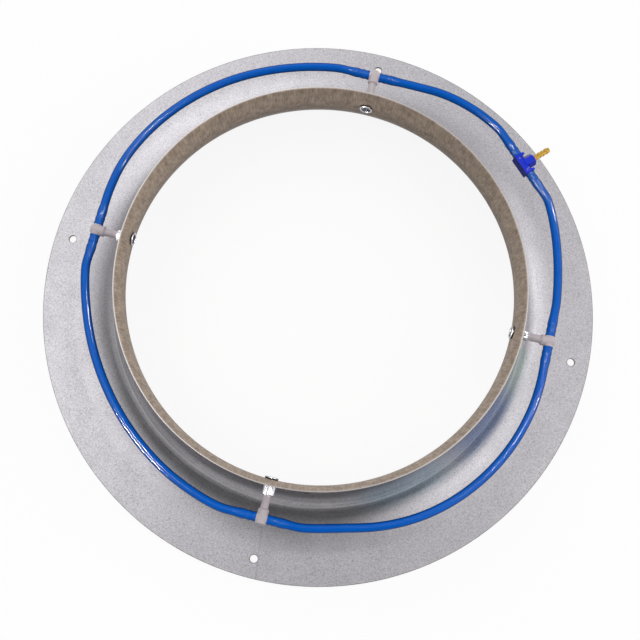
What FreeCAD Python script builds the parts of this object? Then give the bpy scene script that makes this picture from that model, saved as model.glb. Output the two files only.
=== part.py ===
"""Fan inlet ring with a pressure-tap ring line.

A spun sheet-metal bell mouth with a flat bolting flange carries four pressure taps at
its throat. Each tap is a knurled rivet bush with a rubber seal. A plastic tee is
pushed into each bush, and blue hose joins the four tees into one ring. A fifth tee in
that ring carries a brass nipple, where the measuring hose of the fan is pushed on.

Frame: the origin is on the ring's axis, on the lower face of the flange. +Z points
along the axis to the rim, and the four taps lie on +X, +Y, -X and -Y. All sizes are in
millimetres.
"""

import FreeCAD
import Part
import math
import os

from FreeCAD import Vector

# Spun ring
SHEET = 1.5
THROAT_R = 144.6
BELL_R = 53.5
FLANGE_FLAT = 21.9
RIM_RISE = 17.5
EDGE_BREAK = 0.3

# Flange holes
BOLT_COUNT = 4
BOLT_EDGE = 14.3
BOLT_HOLE_R = 3.0

# Rivet bush
BUSH_NECK_R = 4.0
BUSH_HOLE_CLEARANCE = 0.1
BUSH_HEAD_LIP = 1.0
BUSH_HEAD_THICK = 0.9
BUSH_HEAD_BEVEL = 0.3
BUSH_FOLD_R = 5.5
BUSH_FOLD_THICK = 2.2
BUSH_FOLD_BEVEL = 0.7
BUSH_BARREL_R = 4.3
BUSH_REACH = 9.3
BUSH_KNURLS = 18
BUSH_KNURL_DEPTH = 0.35
BUSH_WIDE_BORE_R = 3.5
BUSH_BORE_R = 2.65
BUSH_SEAT_GAP = 0.02

# Rubber seal under the bush head
SEAL_THICK = 0.7
SEAL_INSET = 0.25

# Tee on a tap: its middle stands off the throat by its stem
TEE_STANDOFF = 27.4
TEE_BODY_R = 3.9
TEE_BODY_IN = 6.0
TEE_BODY_BEVEL = 0.8
TEE_STEP = 1.2
TEE_NECK_R = 2.8
TEE_BARB_R = 3.05
TEE_BARB_SHARE = 0.5
TEE_SHOULDER_R = 3.65
TEE_BORE_R = 1.3
STEM_FIT = 0.03
STEM_BACKSET = 0.8

# Barbed arms, the same on every tee
ARM_ROOT_R = 2.0
ARM_CREST_R = 2.6
ARM_BARBS = 3
ARM_PITCH = 4.3
ARM_LAND = 0.5
ARM_NOSE = 1.5
ARM_NOSE_R = 1.75

# Hose
HOSE_R = 3.0
HOSE_WALL = 1.0
HOSE_FIT = 0.03
HOSE_END_GAP = 0.05
HOSE_TAPER = 2.2

# Outlet tee in the ring line, a little further out than the tees on the taps
OUTLET_ANGLE = 45.6
OUTLET_OUT = 9.9
OUTLET_HALF = 8.1
OUTLET_HEIGHT = 8.8
OUTLET_PLATE = 1.6
OUTLET_BARREL_R = 3.3
OUTLET_COLLAR = 1.9
OUTLET_COLLAR_RISE = 0.6
OUTLET_BOSS = 8.6
OUTLET_BOSS_R = 4.3
OUTLET_BOSS_FLATS = 6
OUTLET_RIB = 0.7
OUTLET_ROUND = 0.5

# Brass nipple
NIPPLE_ROOT_R = 2.0
NIPPLE_CREST_R = 2.35
NIPPLE_FREE = 14.6
NIPPLE_SEATED = 5.0
NIPPLE_BARBS = 4
NIPPLE_COLLAR = 1.6
NIPPLE_BORE_R = 1.3

# Hose routes: each from one tee to the next, anticlockwise seen from the rim side.
# A route is how far the hose runs straight on from the middle of its first tee, the
# points that it bends at, and the same straight run at its last tee. A point is an
# angle and how far it lies outside the circle through the tees on the taps.
ROUTES = {
    "hose_east_outlet": (
        "east", 32.0, [(18.9, 5.6), (27.0, 9.2)], 34.0, "outlet"),
    "hose_outlet_north": (
        "outlet", 35.0, [(64.0, 11.8), (71.9, 8.5)], 33.0, "north"),
    "hose_north_west": (
        "north", 30.0,
        [(108.0, 3.3), (117.2, 4.3), (126.4, 5.6), (135.6, 6.4),
         (144.8, 6.9), (153.6, 6.8), (162.0, 6.0)],
        33.0, "west"),
    "hose_west_south": (
        "west", 29.5,
        [(198.0, 0.9), (207.4, 0.2), (216.8, -0.1), (226.2, 0.2),
         (235.6, 0.9), (244.8, 1.9), (253.4, 2.4)],
        31.0, "south"),
    "hose_south_east": (
        "south", 30.0,
        [(288.2, 2.4), (297.4, 6.2), (306.6, 8.8), (315.8, 9.7),
         (325.0, 9.3), (334.0, 8.0), (342.4, 5.8)],
        33.0, "east"),
}

# Worked out from the values above
BELL_CENTRE_R = THROAT_R + BELL_R
FLANGE_R = BELL_CENTRE_R + FLANGE_FLAT
BOLT_CIRCLE_R = FLANGE_R - BOLT_EDGE
TAP_Z = BELL_R
RIM_Z = TAP_Z + RIM_RISE
TEE_R = THROAT_R + TEE_STANDOFF
OUTLET_R = TEE_R + OUTLET_OUT
ARM_LENGTH = ARM_BARBS * ARM_PITCH + ARM_NOSE
TAP_ANGLES = {"east": 0.0, "north": 90.0, "west": 180.0, "south": 270.0}
X_AXIS = Vector(1, 0, 0)
Y_AXIS = Vector(0, 1, 0)
Z_AXIS = Vector(0, 0, 1)


def sheet_r(height, depth):
    """Radius of the bell at a height above the flange, depth into the sheet from its air side."""
    rise = height - TAP_Z
    return BELL_CENTRE_R - math.sqrt((BELL_R - depth) ** 2 - rise ** 2)


def bell_point(angle, depth):
    """Point (radius, height) of the bell arc, depth into the sheet, at an angle in degrees."""
    arc = BELL_R - depth
    return (BELL_CENTRE_R + arc * math.cos(math.radians(angle)),
            TAP_Z + arc * math.sin(math.radians(angle)))


def outline(start, steps, place):
    """Closed face from a start point and steps: (a, b) is a line, (a, b, c, d) an arc by way of (a, b)."""
    edges = []
    here = start
    for step in list(steps) + [start]:
        end = step[-2:]
        if math.dist(here, end) < 1e-6:
            continue
        if len(step) == 4:
            edges.append(Part.Arc(place(*here), place(*step[:2]), place(*end)).toShape())
        else:
            edges.append(Part.LineSegment(place(*here), place(*end)).toShape())
        here = end
    return Part.Face(Part.Wire(edges))


def turned(start, steps):
    """Solid turned about the X axis from an outline of (distance along X, radius) points."""
    face = outline(start, steps, lambda along, radius: Vector(along, 0, radius))
    return face.revolve(Vector(0, 0, 0), X_AXIS, 360)


def rod(radius, start, end):
    """Round rod along the X axis."""
    return Part.makeCylinder(radius, end - start, Vector(start, 0, 0), X_AXIS)


def block(x_range, y_range, z_range):
    """Box between pairs of limits."""
    corner = Vector(x_range[0], y_range[0], z_range[0])
    return Part.makeBox(x_range[1] - x_range[0], y_range[1] - y_range[0],
                        z_range[1] - z_range[0], corner)


def at_tap_height(shape, angle):
    """Turns a piece made along +X round the ring's axis, and lifts it to the taps."""
    shape = shape.copy()
    shape.rotate(Vector(0, 0, 0), Z_AXIS, angle)
    shape.translate(Vector(0, 0, TAP_Z))
    return shape


def one_solid(shape):
    """The single solid that pieces fused together make."""
    return shape.Solids[0] if len(shape.Solids) == 1 else shape


def inlet_ring():
    """Flange, bell, throat and rim, spun from one sheet, with its flange and tap holes."""
    rim_low = RIM_Z - EDGE_BREAK
    rim_air = 180 - math.degrees(math.asin((rim_low - TAP_Z) / BELL_R))
    rim_fan = 180 - math.degrees(math.asin((rim_low - TAP_Z) / (BELL_R - SHEET)))
    flange = -90
    steps = [
        bell_point(flange, 0),
        bell_point((rim_air + 270) / 2, 0) + bell_point(rim_air, 0),
        (sheet_r(rim_low, 0) + EDGE_BREAK, RIM_Z),
        (sheet_r(rim_low, SHEET) - EDGE_BREAK, RIM_Z),
        bell_point(rim_fan, SHEET),
        bell_point((rim_fan + 270) / 2, SHEET) + bell_point(flange, SHEET),
        (FLANGE_R - EDGE_BREAK, SHEET),
        (FLANGE_R, SHEET - EDGE_BREAK),
        (FLANGE_R, EDGE_BREAK),
    ]
    face = outline((FLANGE_R - EDGE_BREAK, 0), steps,
                   lambda radius, height: Vector(radius, 0, height))
    ring = face.revolve(Vector(0, 0, 0), Z_AXIS, 360)
    cuts = []
    for index in range(BOLT_COUNT):
        hole = Part.makeCylinder(BOLT_HOLE_R, 3 * SHEET, Vector(BOLT_CIRCLE_R, 0, -SHEET))
        hole.rotate(Vector(0, 0, 0), Z_AXIS, index * 360 / BOLT_COUNT)
        cuts.append(hole)
    for angle in TAP_ANGLES.values():
        hole_r = BUSH_NECK_R + BUSH_HOLE_CLEARANCE
        cuts.append(at_tap_height(rod(hole_r, THROAT_R - SHEET, THROAT_R + 3 * SHEET), angle))
    return ring.cut(cuts)


def bush_stations():
    """Distances from the ring's axis at which the bush changes: head, seal, fold, barrel, end."""
    head_r = BUSH_NECK_R + BUSH_HEAD_LIP
    seal = THROAT_R - SEAL_THICK
    fold = sheet_r(TAP_Z + BUSH_FOLD_R, SHEET) + BUSH_SEAT_GAP
    return {
        "head_r": head_r,
        "head": seal - BUSH_HEAD_THICK,
        "seal": seal,
        "fold": fold,
        "barrel": fold + BUSH_FOLD_THICK,
        "end": THROAT_R + SHEET + BUSH_REACH,
    }


def tap_bush():
    """Rivet bush: flat head inside the throat, fold behind the sheet, knurled barrel, stepped bore."""
    at = bush_stations()
    front = turned((at["head"], at["head_r"] - BUSH_HEAD_BEVEL), [
        (at["head"] + BUSH_HEAD_BEVEL, at["head_r"]),
        (at["seal"], at["head_r"]),
        (at["seal"], BUSH_NECK_R),
        (at["fold"], BUSH_NECK_R),
        (at["fold"], BUSH_FOLD_R - BUSH_FOLD_BEVEL),
        (at["fold"] + BUSH_FOLD_BEVEL, BUSH_FOLD_R),
        (at["barrel"] - BUSH_FOLD_BEVEL, BUSH_FOLD_R),
        (at["barrel"], BUSH_FOLD_R - BUSH_FOLD_BEVEL),
        (at["barrel"], BUSH_WIDE_BORE_R),
        (at["head"] + BUSH_HEAD_BEVEL, BUSH_WIDE_BORE_R),
        (at["head"], BUSH_WIDE_BORE_R + BUSH_HEAD_BEVEL),
    ])
    chamfer = BUSH_KNURL_DEPTH
    envelope = turned((at["barrel"], 0), [
        (at["barrel"], BUSH_BARREL_R),
        (at["end"] - chamfer, BUSH_BARREL_R),
        (at["end"], BUSH_BARREL_R - chamfer),
        (at["end"], 0),
    ])
    barrel = knurled(at["barrel"], at["end"]).common(envelope)
    barrel = barrel.cut(rod(BUSH_BORE_R, at["barrel"] - 1, at["end"] + 1))
    return one_solid(front.fuse(barrel))


def knurled(start, end):
    """Straight-knurled bar along the X axis: a many-pointed star drawn out to a length."""
    points = []
    for index in range(2 * BUSH_KNURLS + 1):
        turn = math.pi * index / BUSH_KNURLS
        radius = BUSH_BARREL_R - (BUSH_KNURL_DEPTH if index % 2 else 0)
        points.append(Vector(start, radius * math.cos(turn), radius * math.sin(turn)))
    return Part.Face(Part.makePolygon(points)).extrude(Vector(end - start, 0, 0))


def tap_seal(ring):
    """Rubber ring squeezed between the bush head and the curved inside of the throat."""
    at = bush_stations()
    hole_r = BUSH_NECK_R + BUSH_HOLE_CLEARANCE
    ends = (at["seal"], THROAT_R + SHEET / 2)
    blank = rod(at["head_r"] - SEAL_INSET, *ends).cut(rod(hole_r, ends[0] - 1, ends[1] + 1))
    return at_tap_height(blank, TAP_ANGLES["east"]).cut(ring)


def barb_steps(start, root_r, crest_r, pitch, count, nose, nose_r):
    """Outline of a barbed spigot along X, from its root at start to its nose, above the axis."""
    steps = []
    for index in range(count):
        base = start + index * pitch
        steps += [(base, root_r), (base + ARM_LAND, root_r), (base + ARM_LAND, crest_r)]
    end = start + count * pitch
    steps += [(end, root_r), (end + nose, nose_r)]
    return steps


def arm(start):
    """Barbed arm of a tee along +X, starting on the tee's shoulder."""
    steps = barb_steps(start, ARM_ROOT_R, ARM_CREST_R, ARM_PITCH, ARM_BARBS, ARM_NOSE, ARM_NOSE_R)
    return turned((start - 1, 0), [(start - 1, ARM_ROOT_R)] + steps + [(start + ARM_LENGTH, 0)])


def across(shape, radius, turn):
    """Turns a piece made along +X to lie along the hose, at a distance from the ring's axis."""
    shape = shape.copy()
    shape.rotate(Vector(0, 0, 0), Z_AXIS, turn)
    shape.translate(Vector(radius, 0, 0))
    return shape


def tap_tee():
    """Moulded tee: round body, two barbed arms along the hose, tapered stem into the bush."""
    at = bush_stations()
    body_in = TEE_R - TEE_BODY_IN
    body_out = TEE_R + TEE_BODY_R
    neck = body_in - TEE_STEP
    barb = at["end"] + TEE_BARB_SHARE * (neck - at["end"])
    stem_r = BUSH_BORE_R - STEM_FIT
    body = turned((at["barrel"] + STEM_BACKSET, 0), [
        (at["barrel"] + STEM_BACKSET, stem_r),
        (at["end"] + ARM_LAND, stem_r),
        (barb, TEE_BARB_R),
        (barb + ARM_LAND, TEE_NECK_R),
        (neck, TEE_NECK_R),
        (body_in, TEE_BODY_R),
        (body_out - TEE_BODY_BEVEL, TEE_BODY_R),
        (body_out, TEE_BODY_R - TEE_BODY_BEVEL),
        (body_out, 0),
    ])
    shoulders = across(rod(TEE_SHOULDER_R, -TEE_BODY_R, TEE_BODY_R), TEE_R, 90)
    arms = [across(arm(TEE_BODY_R), TEE_R, turn) for turn in (90, -90)]
    reach = TEE_BODY_R + ARM_LENGTH + 1
    bores = [rod(TEE_BORE_R, at["barrel"], TEE_R),
             across(rod(TEE_BORE_R, -reach, reach), TEE_R, 90)]
    return one_solid(body.fuse([shoulders] + arms).cut(bores))


def edges_along(shape, direction):
    """Straight edges of a piece that run along a direction."""
    found = []
    for edge in shape.Edges:
        if abs(edge.tangentAt(edge.FirstParameter).dot(direction)) > 0.99:
            found.append(edge)
    return found


def outlet_tee():
    """Moulded outlet tee: flat back plate, ribbed barrel with end collars, six-sided boss."""
    half = OUTLET_HALF
    tall = OUTLET_HEIGHT / 2
    back = OUTLET_R - OUTLET_BARREL_R
    front = OUTLET_R + OUTLET_BARREL_R
    plate = block((back - OUTLET_PLATE / 2, back + OUTLET_PLATE / 2), (-half, half), (-tall, tall))
    plate = plate.makeFillet(OUTLET_ROUND, edges_along(plate, X_AXIS))
    barrel = across(rod(OUTLET_BARREL_R, -half, half), OUTLET_R, 90)
    collars = []
    for low in (-half, half - OUTLET_COLLAR):
        collar = block((back, front + OUTLET_COLLAR_RISE), (low, low + OUTLET_COLLAR),
                       (-tall + OUTLET_ROUND, tall - OUTLET_ROUND))
        collars.append(collar.makeFillet(OUTLET_ROUND, edges_along(collar, Y_AXIS)))
    rib_reach = half - OUTLET_COLLAR / 2
    rib = block((back, front), (-rib_reach, rib_reach), (-OUTLET_RIB / 2, OUTLET_RIB / 2))
    cheeks = block((back, OUTLET_R + OUTLET_RIB), (-OUTLET_BOSS_R, OUTLET_BOSS_R),
                   (-tall + OUTLET_ROUND, tall - OUTLET_ROUND))
    boss = outlet_boss()
    arms = [across(arm(half), OUTLET_R, turn) for turn in (90, -90)]
    solid = plate.fuse([barrel, rib, cheeks, boss] + collars + arms)
    reach = half + ARM_LENGTH + 1
    bores = [across(rod(TEE_BORE_R, -reach, reach), OUTLET_R, 90),
             rod(TEE_BORE_R, OUTLET_R, OUTLET_R + OUTLET_BOSS + 1),
             rod(NIPPLE_ROOT_R + STEM_FIT, OUTLET_R + OUTLET_BOSS - NIPPLE_SEATED,
                 OUTLET_R + OUTLET_BOSS + 1)]
    return one_solid(solid.cut(bores))


def outlet_boss():
    """Six-sided boss along X, with its outer corners turned off."""
    corner_r = OUTLET_BOSS_R / math.cos(math.pi / OUTLET_BOSS_FLATS)
    points = []
    for index in range(OUTLET_BOSS_FLATS + 1):
        turn = math.pi * (2 * index + 1) / OUTLET_BOSS_FLATS
        points.append(Vector(OUTLET_R, corner_r * math.sin(turn), corner_r * math.cos(turn)))
    bar = Part.Face(Part.makePolygon(points)).extrude(Vector(OUTLET_BOSS, 0, 0))
    end = OUTLET_R + OUTLET_BOSS
    turned_off = turned((OUTLET_R, 0), [
        (OUTLET_R, corner_r),
        (end - 2 * OUTLET_ROUND, corner_r),
        (end, corner_r - 2 * OUTLET_ROUND),
        (end, 0),
    ])
    return bar.common(turned_off)


def outlet_nipple():
    """Turned brass nipple: plain root in the boss, small collar, shallow barbs and a through bore."""
    face = OUTLET_R + OUTLET_BOSS
    start = face + NIPPLE_COLLAR
    tip = face + NIPPLE_FREE
    nose = ARM_LAND
    pitch = (tip - nose - start) / NIPPLE_BARBS
    steps = barb_steps(start, NIPPLE_ROOT_R, NIPPLE_CREST_R, pitch, NIPPLE_BARBS,
                       nose, NIPPLE_ROOT_R - nose / 2)
    solid = turned((face - NIPPLE_SEATED, 0), [
        (face - NIPPLE_SEATED, NIPPLE_ROOT_R),
        (face, NIPPLE_ROOT_R),
        (face, NIPPLE_CREST_R),
        (start, NIPPLE_CREST_R),
    ] + steps + [(tip, 0)])
    return solid.cut(rod(NIPPLE_BORE_R, face - NIPPLE_SEATED - 1, tip + 1))


def hose_sleeve(start):
    """End of a hose pushed over a barbed arm along +X: stretched to the crests, then tapering."""
    begin = start + HOSE_END_GAP
    last_crest = start + (ARM_BARBS - 1) * ARM_PITCH + 2 * ARM_LAND
    end = start + ARM_LENGTH + HOSE_TAPER
    bore_r = HOSE_R - HOSE_WALL
    wide_bore_r = ARM_CREST_R + HOSE_FIT
    wide_r = math.sqrt(wide_bore_r ** 2 + HOSE_R ** 2 - bore_r ** 2)
    return turned((begin, wide_bore_r), [
        (last_crest, wide_bore_r),
        (end, bore_r),
        (end, HOSE_R),
        (last_crest, wide_r),
        (begin, wide_r),
    ])


def tee_place(name):
    """Angle, distance from the axis, and half-width along the hose, of a named tee."""
    if name == "outlet":
        return OUTLET_ANGLE, OUTLET_R, OUTLET_HALF
    return TAP_ANGLES[name], TEE_R, TEE_BODY_R


def polar(angle, radius):
    """Point at tap height from an angle in degrees and a distance from the ring's axis."""
    turn = math.radians(angle)
    return Vector(radius * math.cos(turn), radius * math.sin(turn), TAP_Z)


def arm_point(name, distance, side):
    """Point on the axis of a tee's arm, a distance from the tee's middle, on side +1 or -1."""
    angle, radius, _ = tee_place(name)
    turn = math.radians(angle)
    return polar(angle, radius) + Vector(-math.sin(turn), math.cos(turn), 0) * distance * side


def rounded_path(points):
    """Wire of straight runs joined by tangent arcs, each as large as its two runs allow."""
    edges = []
    radii = []
    here = points[0]
    count = len(points)
    for index in range(1, count - 1):
        before, corner, after = points[index - 1:index + 2]
        into = (before - corner).normalize()
        out = (after - corner).normalize()
        runs = [corner.distanceToPoint(before), corner.distanceToPoint(after)]
        rooms = [runs[0] if index == 1 else runs[0] / 2,
                 runs[1] if index == count - 2 else runs[1] / 2]
        room = 0.98 * min(rooms)
        half_turn = (math.pi - into.getAngle(out)) / 2
        radius = room / math.tan(half_turn)
        bisector = (into + out).normalize()
        middle = corner + bisector * (math.hypot(room, radius) - radius)
        start = corner + into * room
        end = corner + out * room
        edges.append(Part.LineSegment(here, start).toShape())
        edges.append(Part.Arc(start, middle, end).toShape())
        radii.append(radius)
        here = end
    edges.append(Part.LineSegment(here, points[-1]).toShape())
    return Part.Wire(edges), radii


def tube(path, radius):
    """Solid rod of a radius along a wire that starts where its first edge starts."""
    first = path.Edges[0]
    start = first.valueAt(first.FirstParameter)
    direction = first.tangentAt(first.FirstParameter)
    ring = Part.Wire(Part.makeCircle(radius, start, direction))
    return Part.makeSolid(path.makePipeShell([ring], True, False))


def hose(name):
    """One hose of the ring line: a tube along its route, with a stretched sleeve at each end."""
    first, lead, bends, tail, last = ROUTES[name]
    ends = []
    sleeves = []
    for tee, side in ((first, 1), (last, -1)):
        angle, radius, half = tee_place(tee)
        reach = half + ARM_LENGTH + HOSE_TAPER
        ends.append(arm_point(tee, reach, side))
        sleeves.append(at_tap_height(across(hose_sleeve(half), radius, 90 * side), angle))
    points = [ends[0], arm_point(first, lead, 1)]
    points += [polar(angle, TEE_R + out) for angle, out in bends]
    points += [arm_point(last, tail, -1), ends[1]]
    path, radii = rounded_path(points)
    middle = tube(path, HOSE_R).cut(tube(path, HOSE_R - HOSE_WALL))
    expected = path.Length * math.pi * (HOSE_R ** 2 - (HOSE_R - HOSE_WALL) ** 2)
    length = path.Length + 2 * (ARM_LENGTH + HOSE_TAPER)
    print(name, "length between the tees", round(length, 1),
          "bend radii", [round(radius) for radius in radii],
          "volume ratio", round(middle.Volume / expected, 4))
    return one_solid(middle.fuse(sleeves))


def build():
    """All pieces by node name."""
    ring = inlet_ring()
    pieces = {"inlet_ring": ring}
    bush = tap_bush()
    seal = tap_seal(ring)
    tee = tap_tee()
    for side, angle in TAP_ANGLES.items():
        pieces["tap_bush_" + side] = at_tap_height(bush, angle)
        turned_seal = seal.copy()
        turned_seal.rotate(Vector(0, 0, 0), Z_AXIS, angle)
        pieces["tap_seal_" + side] = turned_seal
        pieces["tap_tee_" + side] = at_tap_height(tee, angle)
    pieces["outlet_tee"] = at_tap_height(outlet_tee(), OUTLET_ANGLE)
    pieces["outlet_nipple"] = at_tap_height(outlet_nipple(), OUTLET_ANGLE)
    for name in ROUTES:
        pieces[name] = hose(name)
    return pieces


os.makedirs("parts", exist_ok=True)
for node, shape in build().items():
    shape.exportStep("parts/" + node + ".step")
    print(node, len(shape.Solids), "solid, valid", shape.isValid(), "volume", round(shape.Volume, 1))
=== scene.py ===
"""Looks of a fan inlet ring: spun galvanised bell mouth, four tap fittings and a blue ring line.

The ring lies on its flange, with its rim up. Every size is in metres and in the frame of the
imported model: the origin is on the ring's axis, on the lower face of the flange.
"""

import logging
import math
from dataclasses import dataclass, field
from enum import Enum

import bmesh
import bpy
from mathutils import Euler, Matrix, Vector


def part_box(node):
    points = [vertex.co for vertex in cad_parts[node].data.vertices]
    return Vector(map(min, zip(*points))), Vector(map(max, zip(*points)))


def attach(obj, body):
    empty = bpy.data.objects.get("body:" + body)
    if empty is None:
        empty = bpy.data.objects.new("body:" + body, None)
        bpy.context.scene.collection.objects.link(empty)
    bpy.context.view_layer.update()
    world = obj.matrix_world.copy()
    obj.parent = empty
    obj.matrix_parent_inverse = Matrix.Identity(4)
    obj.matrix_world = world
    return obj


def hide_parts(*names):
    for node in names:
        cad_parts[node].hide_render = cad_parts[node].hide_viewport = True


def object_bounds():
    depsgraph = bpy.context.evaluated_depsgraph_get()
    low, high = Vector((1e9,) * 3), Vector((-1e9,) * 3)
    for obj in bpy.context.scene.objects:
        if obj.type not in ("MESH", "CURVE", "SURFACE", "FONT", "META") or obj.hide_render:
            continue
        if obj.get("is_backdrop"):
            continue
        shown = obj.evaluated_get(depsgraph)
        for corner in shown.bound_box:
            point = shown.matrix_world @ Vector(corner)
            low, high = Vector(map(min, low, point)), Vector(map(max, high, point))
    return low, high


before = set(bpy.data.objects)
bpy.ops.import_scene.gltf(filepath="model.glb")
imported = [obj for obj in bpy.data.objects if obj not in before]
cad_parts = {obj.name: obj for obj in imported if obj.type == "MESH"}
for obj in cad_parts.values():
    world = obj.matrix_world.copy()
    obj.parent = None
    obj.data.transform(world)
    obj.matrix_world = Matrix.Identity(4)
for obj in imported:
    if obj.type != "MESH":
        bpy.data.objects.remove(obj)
CAD_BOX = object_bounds()
MM = 0.001
ROOT = "root"
WELD = 0.002 * MM
FLAT_WITHIN = math.radians(1.0)
BOLT_CIRCLE_R = 205.7 * MM
BOLT_HOLE_R = 3.0 * MM

log = logging.getLogger("inlet_ring")
Colour = tuple[float, float, float]
BLACK: Colour = (0.0, 0.0, 0.0)
WHITE: Colour = (1.0, 1.0, 1.0)


class Side(Enum):
    """The four taps, each with its angle round the ring in degrees."""

    EAST = 0.0
    NORTH = 90.0
    WEST = 180.0
    SOUTH = 270.0


class Face(Enum):
    """Which face of the spun sheet a point lies on, by its depth from the air side."""

    AIR = 0.0
    FAN = 1.0


def srgb(red: int, green: int, blue: int) -> Colour:
    """Turns screen values from 0 to 255 into the linear colour that shaders use.

    Args:
        red: Red screen value.
        green: Green screen value.
        blue: Blue screen value.

    Returns:
        The linear colour.
    """
    values = []
    for value in (red, green, blue):
        share = value / 255
        values.append(share / 12.92 if share <= 0.04045 else ((share + 0.055) / 1.055) ** 2.4)
    return tuple(values)


def shade(colour: Colour, share: float) -> Colour:
    """A colour made darker or lighter, and no lighter than white."""
    return tuple(min(1.0, share * value) for value in colour)


class Tree:
    """Adds and joins the nodes of one shader tree."""

    def __init__(self, tree: bpy.types.NodeTree) -> None:
        """Keeps the tree that the nodes go into."""
        self.tree = tree

    def node(self, kind: str, given: dict[int | str, object] | None = None,
             **settings: object) -> bpy.types.Node:
        """Adds a node.

        Args:
            kind: The node's type without its ShaderNode prefix.
            given: What its inputs take, by number or name.
            settings: Properties to set on it.

        Returns:
            The new node.
        """
        made = self.tree.nodes.new("ShaderNode" + kind)
        for name, value in settings.items():
            setattr(made, name, value)
        for key, value in (given or {}).items():
            self.feed(made.inputs[key], value)
        return made

    def feed(self, socket: bpy.types.NodeSocket, value: object) -> None:
        """Joins a socket to another, or sets it to a plain value."""
        if isinstance(value, bpy.types.NodeSocket):
            self.tree.links.new(value, socket)
        elif isinstance(value, tuple) and len(value) == 3 and socket.type == "RGBA":
            socket.default_value = (*value, 1.0)
        else:
            socket.default_value = value

    def math(self, operation: str, first: object, second: object = 0.0) -> bpy.types.NodeSocket:
        """Works out a value from one or two values.

        Args:
            operation: The Math node's operation.
            first: A socket or number.
            second: A socket or number.

        Returns:
            The result's socket.
        """
        return self.node("Math", {0: first, 1: second}, operation=operation).outputs[0]

    def span(self, value: object, low: float, high: float, to_low: float = 0.0,
             to_high: float = 1.0) -> bpy.types.NodeSocket:
        """Maps a value from one span to another, smoothly and without going past it.

        Args:
            value: The value's socket.
            low: Where the first span starts.
            high: Where the first span ends.
            to_low: What its start becomes.
            to_high: What its end becomes.

        Returns:
            The mapped value's socket.
        """
        given = {"Value": value, "From Min": low, "From Max": high, "To Min": to_low,
                 "To Max": to_high}
        return self.node("MapRange", given, interpolation_type="SMOOTHSTEP").outputs["Result"]

    def mix(self, share: object, first: object, second: object,
            blend: str = "MIX") -> bpy.types.NodeSocket:
        """Mixes two colours.

        Args:
            share: How much of the second colour, from 0 to 1.
            first: A colour or its socket.
            second: A colour or its socket.
            blend: The way they are mixed.

        Returns:
            The mixed colour's socket.
        """
        given = {0: share, 6: first, 7: second}
        return self.node("Mix", given, data_type="RGBA", blend_type=blend).outputs[2]

    def noise(self, vector: object, scale: object, detail: float = 2.0,
              roughness: float = 0.5) -> bpy.types.NodeSocket:
        """Adds a noise.

        Args:
            vector: The coordinates' socket.
            scale: How fine it is.
            detail: How many octaves it has.
            roughness: How strong the finer octaves are.

        Returns:
            The noise value's socket.
        """
        given = {"Vector": vector, "Scale": scale, "Detail": detail, "Roughness": roughness}
        return self.node("TexNoise", given).outputs["Fac"]

    def place(self) -> bpy.types.NodeSocket:
        """The point on the object, in metres."""
        return self.node("TexCoord").outputs["Object"]

    def parts(self, vector: object = None) -> list[bpy.types.NodeSocket]:
        """The X, Y and Z of a vector, or of the point on the object."""
        point = self.place() if vector is None else vector
        return list(self.node("SeparateXYZ", {0: point}).outputs)

    def length(self, first: object, second: object) -> bpy.types.NodeSocket:
        """Length of the way that goes first along one axis and then square to it."""
        squares = [self.math("MULTIPLY", side, side) for side in (first, second)]
        return self.math("SQRT", self.math("ADD", *squares))

    def attribute(self, name: str, output: str = "Fac") -> bpy.types.NodeSocket:
        """What is written on the mesh under a name."""
        return self.node("Attribute", attribute_name=name).outputs[output]

    def group(self, name: str, **values: float) -> bpy.types.NodeSocket:
        """Places a shared node group that reads the point on the object.

        Args:
            name: The group's name.
            values: Its other inputs by name.

        Returns:
            The socket of what it gives.
        """
        given = {"Vector": self.place(), **values}
        return self.node("Group", given, node_tree=bpy.data.node_groups[name]).outputs[0]


def new_group(name: str, result: str, *numbers: str) -> tuple[
        Tree, bpy.types.bpy_prop_collection, bpy.types.bpy_prop_collection]:
    """Starts a shared node group that takes a vector and numbers, and gives one number.

    Args:
        name: The group's name.
        result: The name of what it gives.
        numbers: The names of the numbers that it takes.

    Returns:
        The group's tree, the sockets of what it takes, and that of what it gives.
    """
    tree = bpy.data.node_groups.new(name, "ShaderNodeTree")
    tree.interface.new_socket("Vector", in_out="INPUT", socket_type="NodeSocketVector")
    for title in numbers:
        tree.interface.new_socket(title, in_out="INPUT", socket_type="NodeSocketFloat")
    tree.interface.new_socket(result, in_out="OUTPUT", socket_type="NodeSocketFloat")
    start = tree.nodes.new("NodeGroupInput")
    end = tree.nodes.new("NodeGroupOutput")
    return Tree(tree), start.outputs, end.inputs


def make_ring_lines() -> None:
    """Group of fine lines: Around stretches them round the axis, Across along it and outwards."""
    kit, taken, result = new_group("ring_lines", "Value", "Around", "Across")
    x, y, z = kit.parts(taken["Vector"])
    flat = kit.node("CombineXYZ", {0: x, 1: y}).outputs[0]
    radius = kit.node("VectorMath", {0: flat}, operation="LENGTH").outputs["Value"]
    unit = kit.node("VectorMath", {0: flat}, operation="NORMALIZE").outputs[0]
    wide = kit.node("VectorMath", {0: unit, "Scale": taken["Around"]}, operation="SCALE")
    along = kit.math("MULTIPLY", kit.math("SUBTRACT", radius, z), taken["Across"])
    lift = kit.node("CombineXYZ", {2: along})
    total = kit.node("VectorMath", {0: wide.outputs[0], 1: lift.outputs[0]}, operation="ADD")
    kit.feed(result[0], kit.noise(total.outputs[0], 1.0, 3.0, 0.6))


def make_speckle() -> None:
    """Group of small specks of a size, with Low and High as the noise values where they fade."""
    kit, taken, result = new_group("speckle", "Mask", "Scale", "Low", "High")
    value = kit.noise(taken["Vector"], taken["Scale"], 1.0, 0.4)
    made = kit.node("MapRange", {"Value": value, "From Min": taken["Low"],
                                 "From Max": taken["High"]})
    kit.feed(result[0], made.outputs["Result"])


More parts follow.
